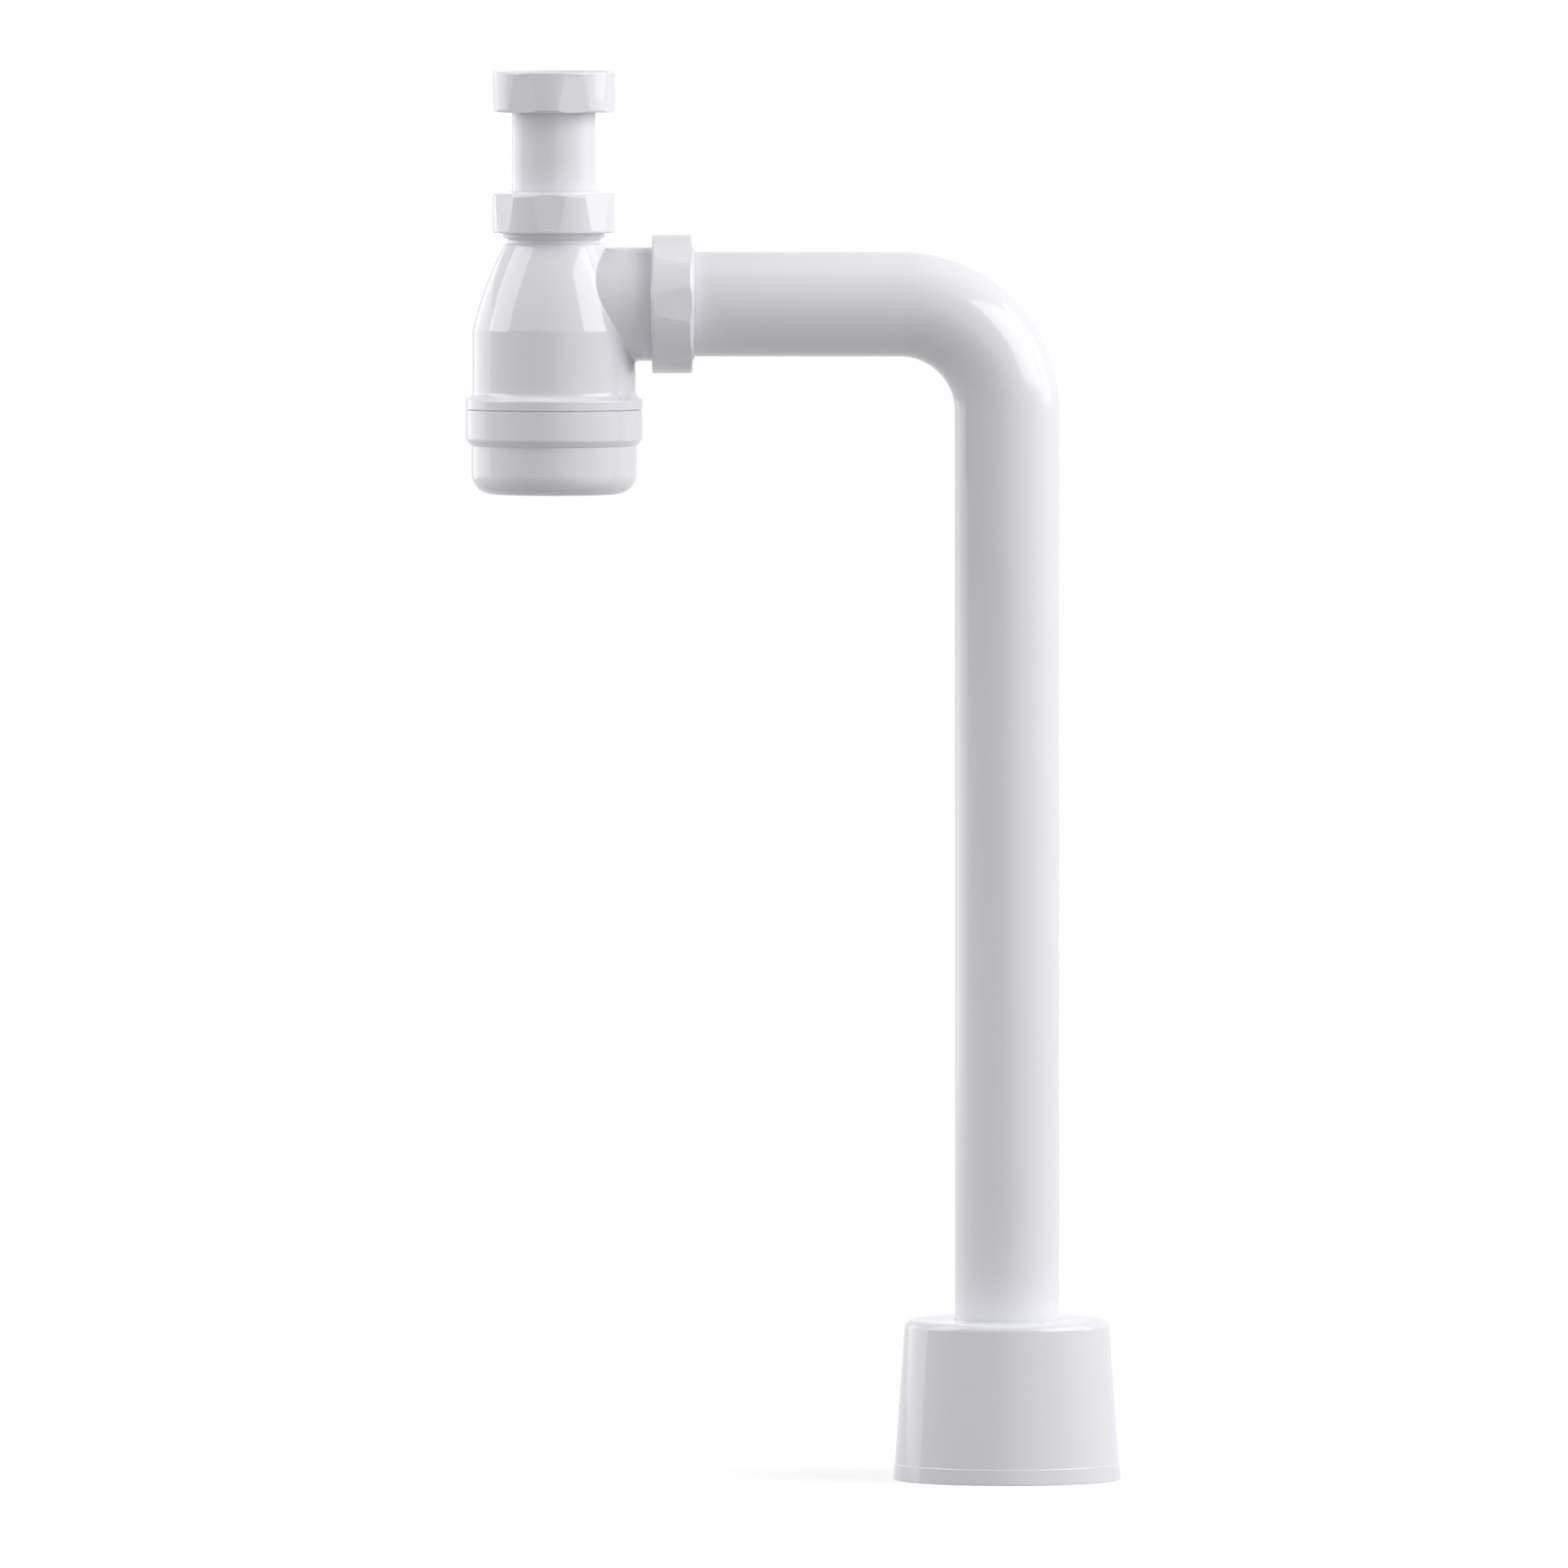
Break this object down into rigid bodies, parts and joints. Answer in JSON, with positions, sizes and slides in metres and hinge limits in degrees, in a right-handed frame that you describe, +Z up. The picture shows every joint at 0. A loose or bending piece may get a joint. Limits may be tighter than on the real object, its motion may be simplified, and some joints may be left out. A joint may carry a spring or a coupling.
{
  "type": "sink trap",
  "caption": "White plastic washbasin bottle trap: inlet union nut and sliding tube, screw cup, swivelling bent outlet pipe and a tall tapered floor cover.",
  "frame": {"origin": "centre of the inlet's sealing face, on the top of the flat gasket, where the end of the sink waste seats", "axes": "+Z up along the inlet thread, the way the sink waste leaves; +X towards the outlet pipe; front looks along +Y"},
  "size_m": [0.2505, 0.0872, 0.5382],
  "materials": {
    "moulded_plastic": "glossy moulded white polypropylene",
    "bottle_plastic": "glossy white polypropylene",
    "cup_plastic": "glossy white polypropylene",
    "pipe_plastic": "glossy extruded white polypropylene",
    "cover_plastic": "glossy white polypropylene",
    "ring_plastic": "satin translucent polyethylene",
    "seal_rubber": "matt black rubber"
  },
  "bodies": {
    "inlet_nut": {"inlet_nut": "moulded_plastic"},
    "inlet_tube": {"inlet_tube": "pipe_plastic", "inlet_gasket": "seal_rubber"},
    "bottle": {"bottle": "bottle_plastic", "neck_seal": "seal_rubber", "outlet_seal": "seal_rubber"},
    "neck_ring": {"neck_slip_ring": "ring_plastic"},
    "neck_nut": {"neck_nut": "moulded_plastic"},
    "outlet_ring": {"outlet_slip_ring": "ring_plastic"},
    "outlet_nut": {"outlet_nut": "moulded_plastic"},
    "cup_seal": {"cup_seal": "seal_rubber"},
    "cup": {"cup": "cup_plastic"},
    "outlet_pipe": {"outlet_pipe": "pipe_plastic"},
    "floor_cover": {"floor_cover": "cover_plastic"}
  },
  "joints": [
    {"name": "trap_swivel", "type": "hinge", "parent": "inlet_nut", "child": "inlet_tube", "pos_m": [0, 0, 0], "axis": [0, 0, 1], "continuous": true},
    {"name": "height_slide", "type": "slide", "parent": "inlet_tube", "child": "bottle", "axis": [0, 0, 1], "range_m": [-0.02, 0.01]},
    {"name": "neck_nut_rise", "type": "slide", "parent": "bottle", "child": "neck_ring", "axis": [0, 0, 1], "range_m": [0, 0.0082]},
    {"name": "neck_nut_turn", "type": "hinge", "parent": "neck_ring", "child": "neck_nut", "pos_m": [0, 0, -0.045], "axis": [0, 0, 1], "range_deg": [0, 1260]},
    {"name": "outlet_nut_shift", "type": "slide", "parent": "bottle", "child": "outlet_ring", "axis": [1, 0, 0], "range_m": [0, 0.0082]},
    {"name": "outlet_nut_turn", "type": "hinge", "parent": "outlet_ring", "child": "outlet_nut", "pos_m": [0.0453, 0, -0.0799], "axis": [1, 0, 0], "range_deg": [0, 1260]},
    {"name": "cup_drop", "type": "slide", "parent": "bottle", "child": "cup_seal", "axis": [0, 0, -1], "range_m": [0, 0.0081]},
    {"name": "cup_turn", "type": "hinge", "parent": "cup_seal", "child": "cup", "pos_m": [0, 0, -0.13], "axis": [0, 0, -1], "range_deg": [0, 720]},
    {"name": "pipe_swivel", "type": "hinge", "parent": "bottle", "child": "outlet_pipe", "pos_m": [0.0465, 0, -0.0799], "axis": [1, 0, 0], "continuous": true},
    {"name": "cover_slide", "type": "slide", "parent": "outlet_pipe", "child": "floor_cover", "axis": [0, 0, 1], "range_m": [0, 0.34]}
  ],
  "couplings": [
    {"joint": "neck_nut_rise", "follows": "neck_nut_turn", "m_per_rad": 0.00036749},
    {"joint": "outlet_nut_shift", "follows": "outlet_nut_turn", "m_per_rad": 0.00036749},
    {"joint": "cup_drop", "follows": "cup_turn", "m_per_rad": 0.00063662}
  ]
}
